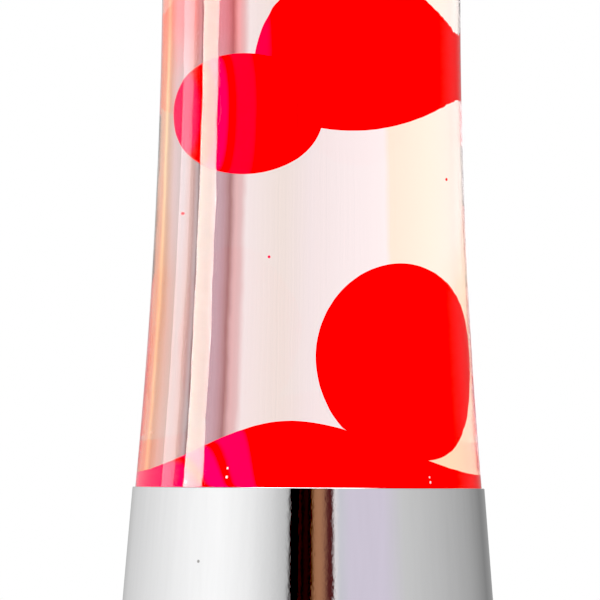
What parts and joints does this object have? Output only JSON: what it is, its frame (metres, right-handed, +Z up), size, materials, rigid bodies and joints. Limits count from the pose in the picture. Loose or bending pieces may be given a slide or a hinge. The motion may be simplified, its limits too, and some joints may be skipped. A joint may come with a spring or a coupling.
{
  "type": "lava lamp",
  "caption": "Liquid motion lamp: tapering glass bottle of clear liquid and red wax blobs, in a conical chrome base that holds a reflector bulb, with a lift-off chrome cap.",
  "frame": {"origin": "on the table, under the middle of the round base", "axes": "+Z up along the lamp's axis; -Y is the side seen in front, and the cable inlet is at +Y"},
  "size_m": [0.11, 0.11, 0.395],
  "materials": {
    "chrome_shell": "polished mirror finish",
    "black_steel": "black satin enamel",
    "black_rubber": "matt",
    "zinc_screw": "zinc plated",
    "galvanised_sheet": "galvanised sheet",
    "silicone": "matt translucent",
    "brass": "plain",
    "holder_plastic": "moulded",
    "porcelain": "glazed",
    "brown_wire": "wire insulation",
    "blue_wire": "wire insulation",
    "bulb_glass": "frosted crown over a mirror reflector",
    "cap_metal": "plain",
    "black_glass": "glossy",
    "solder": "dull",
    "tungsten": "dull wire",
    "clear_glass": "clear, polished",
    "clear_liquid": "clear liquid",
    "red_wax": "warm red wax, lit from below",
    "coil_steel": "bright wire",
    "crown_tin": "tinplate",
    "liner_plastic": "soft",
    "foam": "dense foam"
  },
  "bodies": {
    "base": {"base_shell": "chrome_shell", "bottom_plate": "black_steel", "rubber_feet": "black_rubber", "flange_screws": "zinc_screw", "flange_nuts": "zinc_screw", "bottle_cradle": "galvanised_sheet", "frame_screws": "zinc_screw", "frame_nuts": "zinc_screw", "seat_gasket": "silicone", "holder_bracket": "galvanised_sheet", "holder_nipple": "brass", "nipple_nut": "brass", "holder_shell": "holder_plastic", "holder_contact_block": "porcelain", "holder_sleeve": "brass", "centre_contact": "brass", "terminal_block": "holder_plastic", "terminal_barrels": "brass", "terminal_screws": "zinc_screw", "live_lead": "brown_wire", "neutral_lead": "blue_wire", "cable_grommet": "black_rubber"},
    "bulb": {"bulb_envelope": "bulb_glass", "bulb_screw_shell": "cap_metal", "bulb_insulator": "black_glass", "bulb_tip": "solder", "bulb_stem": "bulb_glass", "bulb_filament": "tungsten"},
    "bottle": {"bottle_glass": "clear_glass", "liquid": "clear_liquid", "wax_pool": "red_wax", "heating_coil": "coil_steel", "crown_cap": "crown_tin", "crown_liner": "liner_plastic"},
    "low_blob": {"wax_blob_low": "red_wax"},
    "left_blob": {"wax_blob_left": "red_wax"},
    "big_blob": {"wax_blob_big": "red_wax"},
    "cap": {"top_cap": "chrome_shell", "cap_pad": "foam"}
  },
  "joints": [
    {"name": "bottle_lift", "type": "slide", "parent": "base", "child": "bottle", "axis": [0, 0, 1], "range_m": [0, 0.06]},
    {"name": "cap_lift", "type": "slide", "parent": "bottle", "child": "cap", "axis": [0, 0, 1], "range_m": [0, 0.07]},
    {"name": "bulb_turn", "type": "hinge", "parent": "base", "child": "bulb", "pos_m": [0, 0, 0.057], "axis": [0, 0, 1], "range_deg": [0, 1260]},
    {"name": "low_blob_rise", "type": "slide", "parent": "bottle", "child": "low_blob", "axis": [0, 0, 1], "range_m": [0, 0.032], "deforming": ["liquid"]},
    {"name": "left_blob_rise", "type": "slide", "parent": "bottle", "child": "left_blob", "axis": [0, 0, 1], "range_m": [-0.058, 0.08], "deforming": ["liquid"]},
    {"name": "big_blob_rise", "type": "slide", "parent": "bottle", "child": "big_blob", "axis": [0, 0, 1], "range_m": [0, 0.05], "deforming": ["liquid"]}
  ]
}
